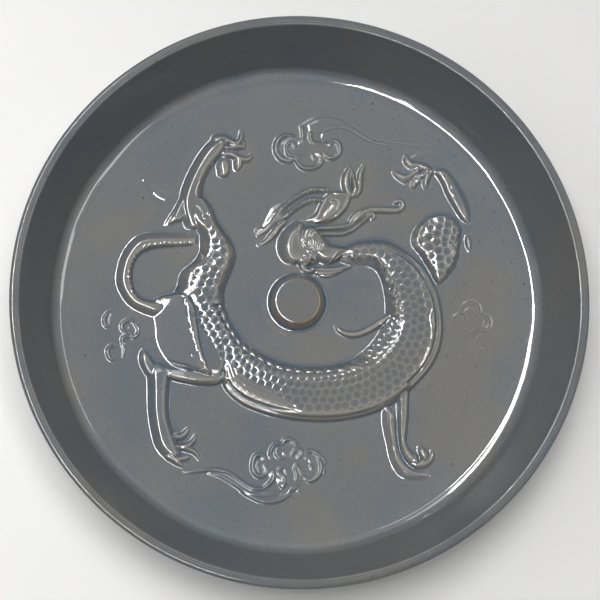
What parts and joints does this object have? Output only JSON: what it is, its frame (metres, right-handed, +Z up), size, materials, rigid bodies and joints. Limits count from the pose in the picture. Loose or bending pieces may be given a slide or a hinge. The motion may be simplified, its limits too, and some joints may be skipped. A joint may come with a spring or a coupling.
{
  "type": "brush washer",
  "caption": "Round glazed stoneware brush washer: a shallow flared basin on a foot ring, with a scaled dragon, its pearl and clouds in relief on the inside floor.",
  "frame": {"origin": "middle of the foot ring's resting face", "axes": "+Z up out of the basin, +Y towards the top cloud, +X towards the dragon's shoulder"},
  "size_m": [0.2, 0.2, 0.035],
  "materials": {
    "blue_grey_glaze": "glossy blue-grey celadon glaze with fine pinholes, darker where it pools",
    "thin_glaze": "the same glaze, thin over edges, where the brown clay shows through"
  },
  "bodies": {
    "root": {"washer_body": "blue_grey_glaze", "pearl_boss": "thin_glaze", "dragon_torso": "blue_grey_glaze", "spine_crest": "blue_grey_glaze", "belly_band_upper": "blue_grey_glaze", "belly_band_lower": "blue_grey_glaze", "dragon_head": "blue_grey_glaze", "dragon_neck": "blue_grey_glaze", "hind_thigh_upper": "blue_grey_glaze", "fore_arm_upper": "blue_grey_glaze", "jaw_beard": "blue_grey_glaze", "mane": "blue_grey_glaze", "ear": "blue_grey_glaze", "ear_tuft": "blue_grey_glaze", "horn_upper": "blue_grey_glaze", "horn_lower": "blue_grey_glaze", "whisker_upper": "blue_grey_glaze", "whisker_lower": "blue_grey_glaze", "back_fin": "blue_grey_glaze", "hind_thigh_lower": "blue_grey_glaze", "hip": "blue_grey_glaze", "tail": "blue_grey_glaze", "hind_shin_lower": "blue_grey_glaze", "heel_spur_lower": "blue_grey_glaze", "hind_paw_lower": "blue_grey_glaze", "hind_shin_upper": "blue_grey_glaze", "heel_spur_upper": "blue_grey_glaze", "hind_paw_upper": "blue_grey_glaze", "flame_upper_left": "blue_grey_glaze", "forearm_upper": "blue_grey_glaze", "elbow_spur": "blue_grey_glaze", "fore_paw_upper": "blue_grey_glaze", "flame_ribbon_right": "blue_grey_glaze", "fore_shin_lower": "blue_grey_glaze", "fore_paw_lower": "blue_grey_glaze", "fore_flame_lower": "blue_grey_glaze", "flame_ribbon_lower": "blue_grey_glaze", "cloud_top": "blue_grey_glaze", "cloud_top_tail": "blue_grey_glaze", "cloud_bottom": "blue_grey_glaze", "cloud_bottom_tail": "blue_grey_glaze", "cloud_left": "blue_grey_glaze", "cloud_right": "blue_grey_glaze"}
  },
  "joints": []
}
